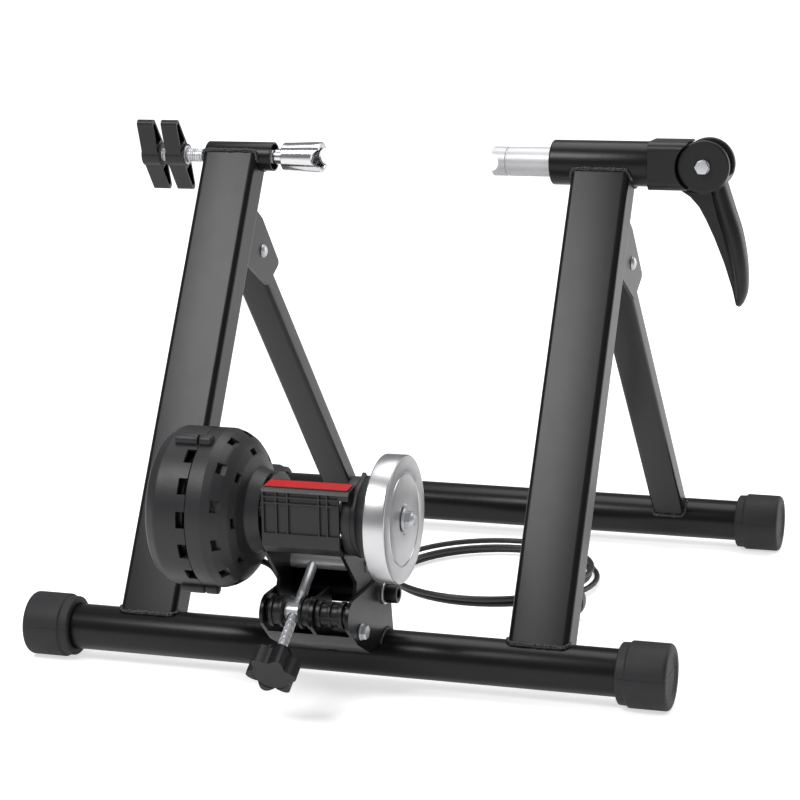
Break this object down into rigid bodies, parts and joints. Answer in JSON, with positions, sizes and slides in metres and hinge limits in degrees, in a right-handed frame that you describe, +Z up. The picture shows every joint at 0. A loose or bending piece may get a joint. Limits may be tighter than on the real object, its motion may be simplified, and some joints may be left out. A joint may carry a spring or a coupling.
{
  "type": "folding magnetic bike trainer",
  "caption": "Folding indoor bicycle trainer: A-frame with axle clamps, sprung-roller magnetic resistance unit with flywheel, tension knob, cam lever and cable shifter.",
  "frame": {"origin": "bottom centre of the object's box without the cable, on the floor between the feet", "axes": "+X along the base tubes from the wing-knob side to the lever side, +Y from the roller towards the rear feet, +Z up"},
  "size_m": [0.5658, 0.6456, 0.4326],
  "materials": {
    "black_paint": "glossy black powder coat",
    "foot_rubber": "matte moulded",
    "black_plastic": "satin moulded",
    "grey_plastic": "fine grained moulded",
    "red_plastic": "smooth",
    "zinc_steel": "bright zinc plated",
    "polished_steel": "machined and polished",
    "cast_aluminium": "satin",
    "magnet_grey": "dull grey",
    "roller_steel": "turned",
    "cable_jacket": "satin"
  },
  "bodies": {
    "fixed_frame": {"front_base_tube": "black_paint", "front_left_foot": "foot_rubber", "front_right_foot": "foot_rubber", "left_upright": "black_paint", "right_upright": "black_paint", "left_hinge_bracket": "black_paint", "right_hinge_bracket": "black_paint", "left_hinge_pin": "zinc_steel", "right_hinge_pin": "zinc_steel", "left_clamp_tube": "black_paint", "right_clamp_tube": "black_paint", "cam_housing": "black_plastic", "cam_pin": "zinc_steel", "pivot_bracket": "black_paint", "unit_pivot_bolt": "black_paint", "pivot_washer": "zinc_steel", "ear_screw": "zinc_steel", "barrel_nut": "zinc_steel", "left_nut_bush": "black_plastic", "right_nut_bush": "black_plastic", "nut_bush_disc": "zinc_steel", "nut_spacer": "black_plastic", "cable_run": "cable_jacket", "cable_coil": "cable_jacket", "shifter_band": "black_plastic", "shifter_body": "black_plastic"},
    "rear_frame": {"rear_base_tube": "black_paint", "rear_left_foot": "foot_rubber", "rear_right_foot": "foot_rubber", "left_rear_leg": "black_paint", "right_rear_leg": "black_paint"},
    "left_cup": {"left_axle_cup": "polished_steel"},
    "left_screw": {"clamp_screw": "zinc_steel", "adjuster_wing_knob": "black_plastic"},
    "lock_insert": {"lock_nut_insert": "zinc_steel"},
    "lock_wing": {"lock_wing_nut": "black_plastic"},
    "right_sleeve": {"right_sleeve": "zinc_steel", "cam_pushrod": "zinc_steel", "cam_return_spring": "zinc_steel"},
    "cam_lever": {"cam_lever": "black_plastic"},
    "unit": {"unit_arm": "black_paint", "roller_housing": "grey_plastic", "housing_red_strip": "red_plastic", "housing_flange": "black_plastic", "magnet_outer_cover": "grey_plastic", "magnet_inner_cover": "grey_plastic", "left_bearing": "zinc_steel", "right_bearing": "zinc_steel", "cable_sleeve": "black_plastic", "barrel_adjuster": "zinc_steel"},
    "t_bar": {"t_bar": "cast_aluminium"},
    "tension_screw": {"tension_screw": "zinc_steel", "tension_knob": "black_plastic"},
    "roller_set": {"roller": "roller_steel", "unit_axle": "zinc_steel", "flywheel": "polished_steel", "flywheel_nut": "zinc_steel", "brake_disc": "cast_aluminium"},
    "magnet_plate": {"magnet_plate": "magnet_grey"},
    "shifter_lever": {"shifter_lever": "black_plastic"}
  },
  "joints": [
    {"name": "rear_frame_fold", "type": "hinge", "parent": "fixed_frame", "child": "rear_frame", "pos_m": [-0.0079, 0.04593, 0.3137], "axis": [-1, 0, 0], "range_deg": [0, 70]},
    {"name": "cup_travel", "type": "slide", "parent": "fixed_frame", "child": "left_cup", "axis": [1, 0, 0], "range_m": [-0.009, 0.012]},
    {"name": "clamp_screw_turn", "type": "hinge", "parent": "left_cup", "child": "left_screw", "pos_m": [-0.1979, 0.03226, 0.4], "axis": [1, 0, 0], "range_deg": [-1860, 2475]},
    {"name": "lock_nut_travel", "type": "slide", "parent": "left_screw", "child": "lock_insert", "axis": [1, 0, 0], "range_m": [-0.0035, 0.0085]},
    {"name": "lock_nut_turn", "type": "hinge", "parent": "lock_insert", "child": "lock_wing", "pos_m": [-0.2314, 0.03226, 0.4], "axis": [1, 0, 0], "range_deg": [-722, 1750]},
    {"name": "sleeve_travel", "type": "slide", "parent": "fixed_frame", "child": "right_sleeve", "axis": [1, 0, 0], "range_m": [0, 0.0105], "deforming": ["cam_return_spring"]},
    {"name": "cam_lever_turn", "type": "hinge", "parent": "fixed_frame", "child": "cam_lever", "pos_m": [0.2461, 0.03226, 0.4], "axis": [0, -1, 0], "range_deg": [0, 95]},
    {"name": "unit_tilt", "type": "hinge", "parent": "fixed_frame", "child": "unit", "pos_m": [-0.0079, -0.18574, 0.077], "axis": [-1, 0, 0], "range_deg": [-4, 18]},
    {"name": "t_bar_turn", "type": "hinge", "parent": "unit", "child": "t_bar", "pos_m": [-0.0169, -0.21174, 0.107], "axis": [-1, 0, 0], "range_deg": [-18, 4]},
    {"name": "tension_screw_turn", "type": "hinge", "parent": "t_bar", "child": "tension_screw", "pos_m": [-0.0169, -0.21174, 0.107], "axis": [0, 0.8406, 0.5417], "range_deg": [-795, 3578]},
    {"name": "roller_spin", "type": "hinge", "parent": "unit", "child": "roller_set", "pos_m": [-0.0079, -0.24374, 0.155], "axis": [1, 0, 0], "continuous": true},
    {"name": "magnet_turn", "type": "hinge", "parent": "unit", "child": "magnet_plate", "pos_m": [-0.1079, -0.24374, 0.155], "axis": [1, 0, 0], "range_deg": [0, 40]},
    {"name": "shifter_lever_turn", "type": "hinge", "parent": "fixed_frame", "child": "shifter_lever", "pos_m": [0.1111, 0.02426, 0.0165], "axis": [-1, 0, 0], "range_deg": [0, 75.5]}
  ],
  "couplings": [
    {"joint": "clamp_screw_turn", "follows": "cup_travel", "rad_per_m": 3590.4},
    {"joint": "lock_nut_turn", "follows": "lock_nut_travel", "rad_per_m": 3590.4},
    {"joint": "sleeve_travel", "follows": "cam_lever_turn", "m_per_rad": 0.006332},
    {"joint": "unit_tilt", "follows": "tension_screw_turn", "ratio": 0.00503},
    {"joint": "t_bar_turn", "follows": "tension_screw_turn", "ratio": -0.00503},
    {"joint": "shifter_lever_turn", "follows": "magnet_turn", "ratio": 1.875}
  ]
}
